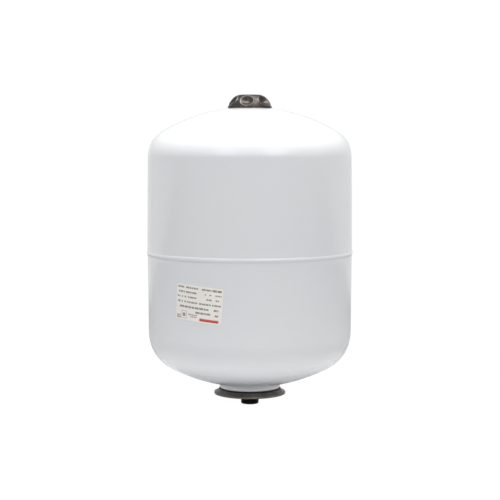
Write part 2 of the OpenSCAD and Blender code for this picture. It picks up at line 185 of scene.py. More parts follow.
def turned(name, outline, around=192, shape=None, crease=35):
    """A closed outline of (r, z) points turned about the axis. around is a count of steps or a list
    of angles, and shape(r, z, angle) may move a point."""
    angles = around if hasattr(around, "__len__") else np.arange(around) * 2 * math.pi / around
    points = []
    for r, z in outline:
        for a in angles:
            r2, z2 = shape(r, z, a) if shape else (r, z)
            points.append((r2 * math.cos(a), r2 * math.sin(a), z2))
    return mesh_object(name, points, grid_faces(len(outline), len(angles), True, True), crease)


def placed(piece, body, slot, material, *replaced):
    """Puts a finished piece into the frame: its body, material and the CAD nodes it stands for. slot is
    not used.
    """
    piece.data.materials.clear()
    piece.data.materials.append(material)
    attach(piece, body)
    if replaced:
        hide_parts(*replaced)


def cut(piece, cutters):
    """Takes each cutter out of the piece for good."""
    for cutter in cutters:
        modifier = piece.modifiers.new("cut", "BOOLEAN")
        modifier.object = cutter
        modifier.solver = "EXACT"
        with bpy.context.temp_override(object=piece, active_object=piece, selected_objects=[piece]):
            bpy.ops.object.modifier_apply(modifier=modifier.name)
        bpy.data.objects.remove(cutter)
    piece.data.set_sharp_from_angle(angle=math.radians(35))


def at_bolt(index):
    """The place of a bolt on its circle; the first one is at the front."""
    angle = FRONT + index * 2 * math.pi / BOLT_COUNT
    return BOLT_CIRCLE_R * math.cos(angle), BOLT_CIRCLE_R * math.sin(angle), 0


def bolt_cutters(radius, low, high):
    """Round cutters on the bolt circle, from one height to another."""
    cutters = []
    for index in range(BOLT_COUNT):
        outline = [(0, low), (radius, low), (radius, high), (0, high)]
        cutter = turned("cutter", outline, around=40)
        cutter.location = at_bolt(index)
        cutters.append(cutter)
    return cutters


def threaded(major, pitch, depth, low, high, fade):
    """A shape that cuts a right-hand thread into an outer wall, fading out towards low and high."""
    def shape(r, z, a):
        if r < major - 1.5 * depth:
            return r, z
        groove = 0.5 - 0.5 * math.cos(2 * math.pi * (z / pitch - a / (2 * math.pi)))
        groove = min(1, max(0, 1.35 * groove - 0.17))
        run = min(1, max(0, min(z - low, high - z) / fade))
        return min(r, major - depth * groove * run), z
    return shape


def hexagonal(flats, reach_low, reach_high, then):
    """A shape that trims round stock to a hexagon between two heights, with another one beyond."""
    def shape(r, z, a):
        if reach_low <= z <= reach_high:
            sixth = (a + math.pi / 6) % (math.pi / 3) - math.pi / 6
            return min(r, flats / 2 / math.cos(sixth)), z
        return then(r, z, a)
    return shape


# ---------------------------------------------------------------- material helpers
def map_range(tree, from_low, from_high, low, high, interpolation="LINEAR"):
    """A node that maps from_low to from_high onto low to high."""
    made = tree.nodes.new("ShaderNodeMapRange")
    made.interpolation_type = interpolation
    for socket, number in zip(("From Min", "From Max", "To Min", "To Max"),
                              (from_low, from_high, low, high)):
        made.inputs[socket].default_value = number
    return made


def glowing(tree, kind, strength, colour=(1, 1, 1)):
    """A node that gives off light of one strength: an emission or a background."""
    made = tree.nodes.new(kind)
    made.inputs["Strength"].default_value = strength
    made.inputs["Color"].default_value = (*colour, 1)
    return made


class Shader:
    """A Principled material with short ways to add what varies over its surface."""

    def __init__(self, name, colour, roughness, metallic=0.0, **constants):
        self.material = bpy.data.materials.new(name)
        self.material.use_nodes = True
        self.material.diffuse_color = (*colour, 1)
        self.tree = self.material.node_tree
        self.surface = self.tree.nodes["Principled BSDF"]
        self.surface.inputs["Base Color"].default_value = (*colour, 1)
        self.surface.inputs["Roughness"].default_value = roughness
        self.surface.inputs["Metallic"].default_value = metallic
        for socket, value in constants.items():
            self.surface.inputs[socket.replace("_", " ")].default_value = value
        self.place = self.tree.nodes.new("ShaderNodeTexCoord").outputs["Object"]

    def node(self, kind, **settings):
        made = self.tree.nodes.new(kind)
        for key, value in settings.items():
            setattr(made, key, value)
        return made

    def link(self, output, socket):
        self.tree.links.new(output, socket)

    def noise(self, scale, detail, stretch=None):
        """A noise of so many features a metre; stretch scales X, Y and Z before it."""
        made = self.node("ShaderNodeTexNoise")
        made.inputs["Scale"].default_value = scale
        made.inputs["Detail"].default_value = detail
        source = self.place
        if stretch:
            mapping = self.node("ShaderNodeMapping")
            mapping.inputs["Scale"].default_value = stretch
            self.link(self.place, mapping.inputs["Vector"])
            source = mapping.outputs["Vector"]
        self.link(source, made.inputs["Vector"])
        return made.outputs["Fac"]

    def cells(self, scale):
        """The random colours of cells, so many to the metre."""
        made = self.node("ShaderNodeTexVoronoi")
        made.inputs["Scale"].default_value = scale
        self.link(self.place, made.inputs["Vector"])
        return made.outputs["Color"]

    def spread(self, value, low, high, from_low=0.3, from_high=0.7):
        """A value's middle range mapped onto low to high."""
        made = map_range(self.tree, from_low, from_high, low, high)
        self.link(value, made.inputs["Value"])
        return made.outputs["Result"]

    def mixed(self, factor, first, second):
        """Two colours, each a tuple or an output, mixed by a factor."""
        made = self.node("ShaderNodeMix", data_type="RGBA")
        self.link(factor, made.inputs["Factor"])
        for socket, colour in ((made.inputs[6], first), (made.inputs[7], second)):
            if hasattr(colour, "is_linked"):
                self.link(colour, socket)
            else:
                socket.default_value = (*colour, 1)
        return made.outputs[2]

    def colour(self, output):
        self.link(output, self.surface.inputs["Base Color"])

    def rough(self, output):
        self.link(output, self.surface.inputs["Roughness"])

    def bump(self, *layers):
        """Bumps from (height output, depth in metres, strength) layers, stacked."""
        normal = None
        for height, depth, strength in layers:
            made = self.node("ShaderNodeBump")
            made.inputs["Distance"].default_value = depth
            made.inputs["Strength"].default_value = strength
            self.link(height, made.inputs["Height"])
            if normal:
                self.link(normal, made.inputs["Normal"])
            normal = made.outputs["Normal"]
        self.link(normal, self.surface.inputs["Normal"])


def enamel(name, colour, peel):
    """Glossy stoved enamel on steel: faint tint changes and orange peel."""
    s = Shader(name, colour, 0.32, Coat_Weight=1.0, Coat_IOR=1.6, Coat_Roughness=0.09)
    cool = tuple(c * f for c, f in zip(colour, (0.99, 0.995, 1.0)))
    warm = tuple(c * f for c, f in zip(colour, (1.01, 1.005, 0.995)))
    s.colour(s.mixed(s.spread(s.noise(7, 1), 0, 1, 0.2, 0.8), cool, warm))
    s.rough(s.spread(s.noise(16, 1), 0.3, 0.36, 0.2, 0.8))
    s.bump((s.noise(420, 1), 0.012 * MM * peel, 0.35))
    return s.material


def rubber(name, colour, roughness, bloom):
    """Moulded rubber: matt, finely grained, with a faint pale bloom."""
    s = Shader(name, colour, roughness)
    dusty = tuple(c + bloom for c in colour)
    s.colour(s.mixed(s.spread(s.noise(60, 5), 0, 1, 0.45, 0.75), colour, dusty))
    s.rough(s.spread(s.noise(140, 4), roughness - 0.12, roughness + 0.12))
    s.bump((s.noise(1500, 3), 0.03 * MM, 0.4), (s.noise(180, 3), 0.08 * MM, 0.3))
    return s.material


def metal(name, colour, roughness, cloud, grain=(1, 1, 1), depth=0.02, stain=None):
    """Metal with cloudy tone, brushed or turned grain, and optional stains."""
    s = Shader(name, colour, roughness, 1.0)
    dark = tuple(c * (1 - cloud) for c in colour)
    light = tuple(min(1, c * (1 + cloud)) for c in colour)
    tone = s.mixed(s.spread(s.noise(90, 5), 0, 1), dark, light)
    if stain:
        tone = s.mixed(s.spread(s.noise(45, 6), 0, 0.7, 0.5, 0.72), tone, stain)
    s.colour(tone)
    s.rough(s.spread(s.noise(170, 5), roughness - 0.1, roughness + 0.12))
    s.bump((s.noise(900, 3, grain), depth * MM, 0.5), (s.noise(160, 3), 0.05 * MM, 0.25))
    return s.material


def plating(name, colour, roughness):
    """Zinc plating: clouded tone with faint darker crystal cells."""
    s = Shader(name, colour, roughness, 0.92)
    tint = s.mixed(s.spread(s.noise(70, 5), 0, 1), tuple(c * 0.72 for c in colour),
                   tuple(c * 1.2 for c in colour))
    crystal = s.node("ShaderNodeRGBToBW")
    s.link(s.cells(420), crystal.inputs["Color"])
    s.colour(s.mixed(s.spread(crystal.outputs["Val"], 0, 0.22, 0, 1), tint,
                     tuple(c * 0.6 for c in colour)))
    s.rough(s.spread(s.noise(150, 5), roughness - 0.08, roughness + 0.14))
    s.bump((s.noise(700, 4), 0.03 * MM, 0.5), (s.noise(60, 3), 0.15 * MM, 0.25))
    return s.material


WHITE = (0.76, 0.775, 0.795)
white_enamel = enamel("white_enamel", WHITE, 1.0)
weld_enamel = enamel("weld_enamel", tuple(c * 1.02 for c in WHITE), 1.6)
bladder_rubber = rubber("bladder_rubber", (0.022, 0.022, 0.024), 0.6, 0.02)
seal_rubber = rubber("seal_rubber", (0.02, 0.02, 0.02), 0.5, 0.01)
flange_plating = plating("flange_plating", (0.21, 0.19, 0.165), 0.36)
bolt_plating = plating("bolt_plating", (0.48, 0.46, 0.42), 0.34)
dark_steel = metal("dark_steel", (0.075, 0.068, 0.062), 0.36, 0.3, depth=0.03,
                   stain=(0.04, 0.03, 0.024))
bare_weld = metal("bare_weld", (0.30, 0.27, 0.25), 0.4, 0.3, depth=0.05, stain=(0.16, 0.10, 0.12))
turned_steel = metal("turned_steel", (0.55, 0.55, 0.54), 0.28, 0.1, (1, 1, 14))
brass = metal("brass", (0.70, 0.50, 0.20), 0.26, 0.12, (1, 1, 14), stain=(0.42, 0.27, 0.10))
spring_wire = metal("spring_wire", (0.55, 0.55, 0.56), 0.25, 0.1)
red_seal = rubber("red_seal", (0.45, 0.05, 0.03), 0.35, 0.02)


def cover_metal():
    """Warm dark grey satin finish, clouded, lighter on the rims around the dimples: partly wear, partly
    a painted highlight.
    """
    s = Shader("dark_cover", (0.065, 0.058, 0.052), 0.33, 0.9)
    sheen_and_rub = s.node("ShaderNodeAttribute", attribute_name="rub_and_sheen").outputs["Fac"]
    tone = s.mixed(s.spread(s.noise(130, 5), 0, 1), (0.052, 0.046, 0.041), (0.078, 0.07, 0.064))
    # The rims round the dimples are lightened: partly wear, partly a painted highlight for the light the
    # crests catch
    s.colour(s.mixed(sheen_and_rub, tone, (0.145, 0.132, 0.123)))
    s.rough(s.spread(s.noise(220, 3), 0.29, 0.37))
    s.bump((s.noise(1400, 3), 0.012 * MM, 0.4), (s.noise(240, 2), 0.03 * MM, 0.3))
    return s.material


def printed(name, colour):
    """Printing ink: slightly uneven in tone, satin."""
    s = Shader(name, colour, 0.5)
    s.colour(s.mixed(s.spread(s.noise(900, 3), 0, 1), colour, tuple(c * 1.35 for c in colour)))
    s.rough(s.spread(s.noise(500, 2), 0.42, 0.58))
    return s.material


def film():
    """Off-white label film, a little yellowed, with a fine paper-like tooth."""
    s = Shader("label_film", (0.88, 0.84, 0.795), 0.38)
    s.colour(s.mixed(s.spread(s.noise(55, 4), 0, 1), (0.895, 0.86, 0.82), (0.865, 0.82, 0.775)))
    s.rough(s.spread(s.noise(240, 4), 0.34, 0.46))
    s.bump((s.noise(1800, 2), 0.01 * MM, 0.4), (s.noise(90, 2), 0.05 * MM, 0.25))
    return s.material


dark_cover = cover_metal()
label_film = film()
grey_ink = printed("grey_ink", (0.24, 0.23, 0.215))
red_ink = printed("red_ink", (0.52, 0.075, 0.06))


# ---------------------------------------------------------------- shells
SHELL_STEPS = 256
DENTS = ((0.05 * MM, 3, 9), (0.04 * MM, 7, 23), (0.03 * MM, 12, 41))   # depth, waves round, twist
SMOOTH_R, FADE_R = 0.1, 0.03    # no dents nearer the axis than this, and the zone they grow over


def crown_drop(tangent_r, knuckle, crown):
    """Distance from a head's tangent line back to the centre of its crown."""
    return math.sqrt((crown - knuckle) ** 2 - (tangent_r - knuckle) ** 2)


def head(tangent_r, tangent_z, knuckle, crown, hole_r, side, inset):
    """A dished head's line from its tangent to a hole. side is 1 for the top, -1 for the bottom."""
    handover = math.acos((tangent_r - knuckle) / (crown - knuckle))
    centre_z = tangent_z - side * crown_drop(tangent_r, knuckle, crown)
    last = math.acos(hole_r / (crown - inset))
    return (arc((tangent_r - knuckle, tangent_z), knuckle - inset, 0, side * handover, 36)
            + arc((0, centre_z), crown - inset, side * handover, side * last, 30)[1:])


def upper_line(inset):
    """The upper shell's line from its edge to the boss, inset from its outer face."""
    return ([(SHELL_R - inset, shell_edge_z + k * UPPER_WALL / 16) for k in range(16)]
            + head(SHELL_R - DRAFT, upper_tangent_z, UPPER_KNUCKLE, UPPER_CROWN, BOSS_R, 1, inset))


def lower_line(inset):
    """The lower shell's line: the joggled rim, the wall and the head, inset from its outer face."""
    walls = LOWER_WALL - JOGGLE
    return ([(RIM_R - inset, rim_top_z), (RIM_R - inset, shell_edge_z)]
            + [(LOWER_R - inset, shell_edge_z - JOGGLE - k * walls / 14) for k in range(14)]
            + head(LOWER_R - DRAFT, lower_tangent_z, LOWER_KNUCKLE, LOWER_CROWN, NECK_R, -1, inset))


def drawn(edge_z, tangent_z, phase):
    """A drawn shell's true form: its wall narrows towards the head and is never quite round."""
    def shape(r, z, a):
        along = min(1, max(0, (z - edge_z) / (tangent_z - edge_z)))
        wall_r = r - DRAFT * along if abs(z - edge_z) < abs(tangent_z - edge_z) else r
        if r < SMOOTH_R:
            return wall_r, z
        dent = sum(depth * math.cos(waves * a + shift + twist * z)
                   for (depth, waves, twist), shift in zip(DENTS, (phase, -phase, 0)))
        return wall_r + dent * min(1, (r - SMOOTH_R) / FADE_R), z
    return shape


upper_outline = upper_line(0) + upper_line(SHEET)[::-1]
upper_shell = turned("upper_shell", upper_outline, SHELL_STEPS,
                     drawn(shell_edge_z, upper_tangent_z, 0.6))
placed(upper_shell, "vessel", "white_paint", white_enamel, "upper_shell")

lower_outline = lower_line(0) + lower_line(SHEET)[::-1]
lower_form = drawn(shell_edge_z - JOGGLE, lower_tangent_z, 2.1)
lower_shell = turned("lower_shell", lower_outline, SHELL_STEPS, lower_form)
placed(lower_shell, "vessel", "white_paint", white_enamel, "lower_shell")


# ---------------------------------------------------------------- welds
def bead(name, face, back, ripple_pitch, ripple_h, wander, around, overlap_at):
    """A weld bead turned about the axis. Its face runs from toe to toe and is rippled in crescents,
    wanders a little and thickens where the run closes; its back stays as drawn."""
    count = len(face)
    sides = [Vector(face[min(k + 1, count - 1)]) - Vector(face[max(k - 1, 0)]) for k in range(count)]
    points, angles = [], np.arange(around) * 2 * math.pi / around
    mean_r = sum(r for r, z in face) / count
    for k, (r, z) in enumerate(face):
        along = sides[k].normalized()
        out = Vector((along.y, -along.x))
        crown = math.sin(math.pi * k / (count - 1))
        for a in angles:
            crescent = a * mean_r + ripple_pitch * 0.9 * (1 - crown)
            ripple = 0.5 * math.cos(2 * math.pi * crescent / ripple_pitch + 0.6 * math.sin(5 * a)) - 0.5
            drift = wander * (math.sin(5 * a + 0.7) + 0.6 * math.sin(13 * a) + 0.4 * math.sin(29 * a))
            swell = math.exp(-((a - overlap_at) / 0.06) ** 2)
            lift = crown * ripple_h * (2 * ripple + 1.5 * swell + 0.6 * math.sin(17 * a + 1))
            moved = Vector((r, z)) + out * lift + along * drift
            points.append((moved.x * math.cos(a), moved.x * math.sin(a), moved.y))
    for r, z in back:
        points += [(r * math.cos(a), r * math.sin(a), z) for a in angles]
    return mesh_object(name, points, grid_faces(count + len(back), around, True, True), 60)


def fillet(toe, middle, end, steps=9):
    """A curved line from one toe of a fillet weld to the other, pulled towards a middle point."""
    line = []
    for k in range(steps + 1):
        t = k / steps
        line.append(tuple((1 - t) ** 2 * p + 2 * t * (1 - t) * q + t * t * e
                          for p, q, e in zip(toe, middle, end)))
    return line


# The seam bead's lower toe sits just under the joggle and its upper toe just over the shell's edge
toe_z = shell_edge_z - JOGGLE - 0.3 * MM
bow = (BEAD_W ** 2 / 4 + BEAD_PROUD ** 2) / (2 * BEAD_PROUD)
half = math.asin(BEAD_W / 2 / bow)
seam_face = [(LOWER_R - 0.22 * MM, toe_z)] + arc((SHELL_R + BEAD_PROUD - bow, toe_z + BEAD_W / 2),
                                                 bow, -half, half, 14)
seam_back = [(SHELL_R - 0.02 * MM, toe_z + BEAD_W), (SHELL_R - 0.02 * MM, shell_edge_z),
             (RIM_R + 0.02 * MM, shell_edge_z)]
seam_weld = bead("seam_weld", seam_face, seam_back, ripple_pitch=3.1 * MM, ripple_h=0.10 * MM,
                 wander=0.16 * MM, around=1500, overlap_at=2.2)
placed(seam_weld, "vessel", "painted_weld", weld_enamel, "seam_weld")

root_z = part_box("neck_weld")[0].z + NECK_LEG
neck_face = fillet((NECK_R, root_z - NECK_LEG), (NECK_R + 0.3 * NECK_LEG, root_z - 0.2 * NECK_LEG),
                   (NECK_R + NECK_LEG, root_z + 0.16 * NECK_LEG))
neck_weld = bead("neck_weld", neck_face, [(NECK_R, root_z + 0.1 * MM)], ripple_pitch=2.3 * MM,
                 ripple_h=0.09 * MM, wander=0.08 * MM, around=960, overlap_at=0.9)
placed(neck_weld, "vessel", "painted_weld", weld_enamel, "neck_weld")

root_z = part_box("boss_weld")[1].z - BOSS_LEG
boss_face = fillet((BOSS_R + 1.6 * BOSS_LEG, root_z - 0.1 * MM),
                   (BOSS_R + 0.5 * BOSS_LEG, root_z + 0.3 * BOSS_LEG), (BOSS_R, root_z + BOSS_LEG))
boss_weld = bead("boss_weld", boss_face, [(BOSS_R, root_z - 0.1 * MM)], ripple_pitch=1.6 * MM,
                 ripple_h=0.05 * MM, wander=0.04 * MM, around=480, overlap_at=4.1)
placed(boss_weld, "vessel", "bare_weld", bare_weld, "boss_weld")

nipple_face = fillet((SPIGOT_R + NIPPLE_LEG, flange_high_z),
                     (SPIGOT_R + 0.4 * NIPPLE_LEG, flange_high_z + 0.4 * NIPPLE_LEG),
                     (SPIGOT_R, flange_high_z + NIPPLE_LEG))
nipple_weld = bead("nipple_weld", nipple_face, [(SPIGOT_R, flange_high_z)], ripple_pitch=1.6 * MM,
                   ripple_h=0.05 * MM, wander=0.04 * MM, around=440, overlap_at=5.0)
placed(nipple_weld, "vessel", "bare_weld", bare_weld, "nipple_weld")


# ---------------------------------------------------------------- neck, bladder and flange
neck_ring = turned("neck_ring", rounded([
    (NECK_BORE_R, neck_low_z, 0.5 * MM), (NECK_R, neck_low_z, 0.9 * MM),
    (NECK_R, neck_high_z, 0.4 * MM), (NECK_BORE_R, neck_high_z, 3 * MM)], 5))
cut(neck_ring, bolt_cutters(BOLT_R, neck_low_z - 1 * MM, neck_low_z + TAP_DEPTH))
placed(neck_ring, "vessel", "white_paint", white_enamel, "neck_ring")


def bag_line(start_r, wide, tall, steps):
    """Half of the egg-shaped bag, from its mouth to its closed top."""
    first = -math.acos(start_r / wide)
    middle = bag_high_z - BAG_TALL
    return [(wide * math.cos(a), middle + tall * math.sin(a))
            for a in np.linspace(first, math.pi / 2, steps)]


MOULD_LINES = (0.3, 0.3 + math.pi)
BAG_STEPS = 144


def moulded(r, z, a):
    """The bag sags slightly in long waves and carries two flash lines from its mould."""
    at_mouth = r < MOUTH_R + 0.5 * MM and z < bag_high_z - 2 * BAG_TALL + 10 * MM
    if at_mouth or z < neck_high_z:
        return r, z
    flash = max(math.exp(-((r * math.sin(a - line)) / (0.5 * MM)) ** 2) * (math.cos(a - line) > 0)
                for line in MOULD_LINES)
    wave = 0.5 * math.sin(3 * a + 14 * z) + 0.3 * math.sin(5 * a - 22 * z)
    return r + (0.4 * flash + wave * min(1, r / 0.05)) * MM, z


bag_angles = sorted(set(np.round(np.arange(BAG_STEPS) * 2 * math.pi / BAG_STEPS, 6))
                    | {round(line + k * 0.0028, 6) for line in MOULD_LINES for k in range(-5, 6)})
mouth_inner = MOUTH_R - MOUTH_WALL
lip_inner = LIP_R - 1 * MM      # the lip's edge is rounded from here out
lip_middle = (flange_high_z + neck_low_z) / 2
bag_outline = (
    [(mouth_inner, flange_high_z + 0.4 * MM), (mouth_inner + 0.4 * MM, flange_high_z),
     (lip_inner, flange_high_z)]
    + [(lip_inner + 1 * MM * math.cos(t), lip_middle + (neck_low_z - lip_middle) * math.sin(t))
       for t in np.linspace(-1.45, 1.45, 13)]
    + [(lip_inner, neck_low_z), (MOUTH_R, neck_low_z)]
    + bag_line(MOUTH_R, BAG_R, BAG_TALL, 64)
    + bag_line(mouth_inner, BAG_R - BAG_WALL, BAG_TALL - BAG_WALL, 40)[::-1])
bladder = turned("bladder", bag_outline, bag_angles, moulded)
cut(bladder, bolt_cutters(CLEARANCE_R, flange_high_z - 1 * MM, neck_low_z + 1 * MM))
placed(bladder, "vessel", "bladder_rubber", bladder_rubber, "bladder")

shoulder_r, brim_z = LIP_R + 1 * MM, flange_low_z + FLANGE_T
counter_flange = turned("counter_flange", rounded([
    (SPIGOT_R, plate_low_z, 0.25 * MM), (lip_inner, plate_low_z, 1.6 * MM),
    (flange_r - 3.5 * MM, flange_low_z, 1.0 * MM), (flange_r, flange_low_z, 0.8 * MM),
    (flange_r, brim_z, 0.8 * MM), (flange_r - 1.1 * MM, brim_z + 0.1 * MM, 0.25 * MM),
    (flange_r - 1.5 * MM, brim_z - 0.1 * MM, 0.2 * MM),
    (shoulder_r, flange_high_z - 0.1 * MM, 1.3 * MM),
    (shoulder_r - 0.6 * MM, flange_high_z, 0.2 * MM), (SPIGOT_R, flange_high_z, 0.25 * MM)], 6))
cut(counter_flange, bolt_cutters(CLEARANCE_R, flange_low_z - 1 * MM, flange_high_z + 1 * MM))
placed(counter_flange, "vessel", "plated_flange", flange_plating, "counter_flange")

# ---------------------------------------------------------------- water nipple and flange bolts
nipple_wall = spaced([(NIPPLE_R - 1 * MM, 0), (NIPPLE_R, 1 * MM),
                      (NIPPLE_R, plate_low_z - 0.3 * MM)], 0.16 * MM)
water_nipple = turned(
    "water_nipple",
    [(NIPPLE_BORE_R, 0.5 * MM), (NIPPLE_BORE_R + 0.5 * MM, 0)] + nipple_wall
    + [(NIPPLE_R, plate_low_z - 0.2 * MM), (NIPPLE_R - 0.2 * MM, plate_low_z),
       (SPIGOT_R, plate_low_z), (SPIGOT_R, nipple_high_z - 0.4 * MM),
       (SPIGOT_R - 0.4 * MM, nipple_high_z), (NIPPLE_BORE_R + 0.5 * MM, nipple_high_z),
       (NIPPLE_BORE_R, nipple_high_z - 0.5 * MM)],
    180, threaded(NIPPLE_R, PIPE_PITCH, PIPE_DEPTH, -1, plate_low_z - 2 * MM, 1.5 * MM), 50)
placed(water_nipple, "vessel", "dark_steel", dark_steel, "water_nipple")


def flange_bolt(index, turn):
    """A hexagon bolt with a dished, chamfered head, a washer face and a full thread."""
    head_low, head_high, tip = plate_low_z - HEAD_H, plate_low_z, plate_low_z + BOLT_L
    thread_r = BOLT_R - 0.02 * MM
    corner = HEAD_FLATS / 2 / math.cos(math.pi / 6)
    head_line = [(0, head_low + 0.3 * MM), (2.7 * MM, head_low + 0.3 * MM), (3.2 * MM, head_low),
                 (4.7 * MM, head_low), (5.05 * MM, head_low + 0.1 * MM), (5.4 * MM, head_low + 0.3 * MM),
                 (corner, head_low + 0.6 * MM), (corner, head_high - 0.35 * MM),
                 (corner - 0.2 * MM, head_high - 0.2 * MM), (WASHER_FACE_R, head_high - 0.2 * MM),
                 (WASHER_FACE_R, head_high)]
    shank = [(thread_r, head_high)] + [(thread_r, head_high + k * 0.166 * MM) for k in range(1, 92)]
    shank += [(thread_r - 0.7 * MM, tip), (0, tip)]
    thread = threaded(thread_r, 1 * MM, 0.6 * MM, head_high + 0.8 * MM, tip + 1 * MM, 0.5 * MM)
    bolt = turned(f"flange_bolt_{index + 1}", head_line + shank, 48,
                  hexagonal(HEAD_FLATS, head_low + 0.05 * MM, head_high - 0.25 * MM, thread), 40)
    bolt.location = at_bolt(index)
    bolt.rotation_euler.z = turn
    placed(bolt, "vessel", "plated_bolt", bolt_plating, "flange_bolts")


wrench = random.Random(4)
for index in range(BOLT_COUNT):
    flange_bolt(index, wrench.uniform(0, math.pi / 3))

# ---------------------------------------------------------------- air valve
shoulder_z = boss_high_z - BOSS_THREAD_L
boss_wall = [(BOSS_THREAD_R, shoulder_z + k * 0.16 * MM) for k in range(1, 39)]
valve_boss = turned(
    "valve_boss",
    [(SHANK_R, boss_low_z + 0.3 * MM), (SHANK_R + 0.3 * MM, boss_low_z), (BOSS_R - 0.5 * MM, boss_low_z),
     (BOSS_R, boss_low_z + 0.5 * MM), (BOSS_R, shoulder_z - 0.4 * MM), (BOSS_R - 0.4 * MM, shoulder_z),
     (BOSS_THREAD_R - 0.3 * MM, shoulder_z)] + boss_wall
    + [(BOSS_THREAD_R - 0.6 * MM, boss_high_z), (SHANK_R + 0.3 * MM, boss_high_z),
       (SHANK_R, boss_high_z - 0.3 * MM)],
    180, threaded(BOSS_THREAD_R, PIPE_PITCH, PIPE_DEPTH, shoulder_z + 0.4 * MM, 1, 1.0 * MM), 50)
placed(valve_boss, "vessel", "turned_steel", turned_steel, "valve_boss")

for node, material in (("valve_seal", seal_rubber), ("valve_stem", brass), ("core_body", brass),
                       ("core_seal", red_seal), ("core_pin", brass), ("poppet_seal", seal_rubber),
                       ("cover_washer", seal_rubber), ("cover_insert", brass)):
    for socket in nodes[node].material_slots:
        socket.material = material


def coil(name, radius, wire, turns, low, high, sides=12, steps=40):
    """A compression spring whose end turns close up against their seats."""
    points, count = [], turns * steps
    for i in range(count + 1):
        t = i / count
        rise = t - 0.085 * math.sin(2 * math.pi * t)
        a = t * turns * 2 * math.pi
        middle_z = low + wire + (high - low - 2 * wire) * rise
        for k in range(sides):
            b = 2 * math.pi * k / sides
            r = radius + wire * math.cos(b)
            points.append((r * math.cos(a), r * math.sin(a), middle_z + wire * math.sin(b)))
    faces = grid_faces(count + 1, sides, False, True)
    faces += [tuple(range(sides)), tuple(count * sides + k for k in reversed(range(sides)))]
    return mesh_object(name, points, faces, 50)


core_spring = coil("core_spring", 0.97 * MM, 0.15 * MM, 6, spring_low_z, spring_high_z)
placed(core_spring, "vessel", "spring_steel", spring_wire, "core_spring")
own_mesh(core_spring)

# ---------------------------------------------------------------- cover
DOME_SINK = 9.1 * MM          # the dome's centre is this far below the cover's lower edge
RIM_CREST_R, RIM_OUTER_R, RIM_RISE, BOWL_DEPTH = 10.1 * MM, 11.5 * MM, 0.7 * MM, 4.5 * MM
DIMPLE_SQUEEZE = 1.13         # the dimples are this much wider than they are high
COVER_STEPS = 480
SHEEN_RUB_W = 1.6 * MM           # reach of the lightening, part wear and part painted highlight, to either side of a crest

dome_z = cover_low_z - DOME_SINK
crown_centre = (DOME_OFFSET + (DOME_R - CROWN_BLEND_R) * math.cos(CROWN_ANGLE),
                dome_z + (DOME_R - CROWN_BLEND_R) * math.sin(CROWN_ANGLE))


def dimple_offset(r, z, a):
    """Distance from the nearest dimple's axis, stretched upwards because the dimples are oval."""
    step = 2 * math.pi / DIMPLES
    swing = (a - FRONT - DIMPLE_TURN + step / 2) % step - step / 2
    across = r * math.sin(swing)
    out, up = r * math.cos(swing) - DOME_OFFSET, z - dome_z
    rise = up * math.cos(DIMPLE_TILT) - out * math.sin(DIMPLE_TILT)
    return math.hypot(across, rise * DIMPLE_SQUEEZE)


def dimpled(skin):
    """Presses the finger dimples and their rounded rims into the dome. skin is how far the surface
    lies under the outer face."""
    def shape(r, z, a):
        out, up = r - DOME_OFFSET, z - dome_z
        if r < 0.5 * MM or z < cover_low_z + LIP_HEIGHT - 0.01 * MM and not skin:
            return r, z
        if skin and (r < HUB_R + 0.6 * MM or z < cover_low_z + 0.01 * MM):
            return r, z
        crest, outer = RIM_CREST_R + skin * 0.35, RIM_OUTER_R + skin * 0.35
        d = dimple_offset(r, z, a)
        if d >= outer:
            return r, z
        if d >= crest:
            move = RIM_RISE * (0.5 + 0.5 * math.cos(math.pi * (d - crest) / (outer - crest)))
        else:
            move = RIM_RISE - (RIM_RISE + BOWL_DEPTH) * (1 - (d / crest) ** 2) ** 1.18
        length = math.hypot(out, up)
        return r + move * out / length, z + move * up / length
    return shape


def dome_line(inset, first, steps, blend_steps, flat_steps, inner_r=0.0):
    """The dome from near its lip to the axis, or to inner_r; inset is how far under the outer face."""
    top = crown_centre[1] + CROWN_BLEND_R - inset
    return (arc((DOME_OFFSET, dome_z), DOME_R - inset, first, CROWN_ANGLE, steps)
            + arc(crown_centre, CROWN_BLEND_R - inset, CROWN_ANGLE, math.pi / 2, blend_steps)[1:]
            + [(crown_centre[0] + (inner_r - crown_centre[0]) * k / flat_steps, top)
               for k in range(1, flat_steps + 1)])


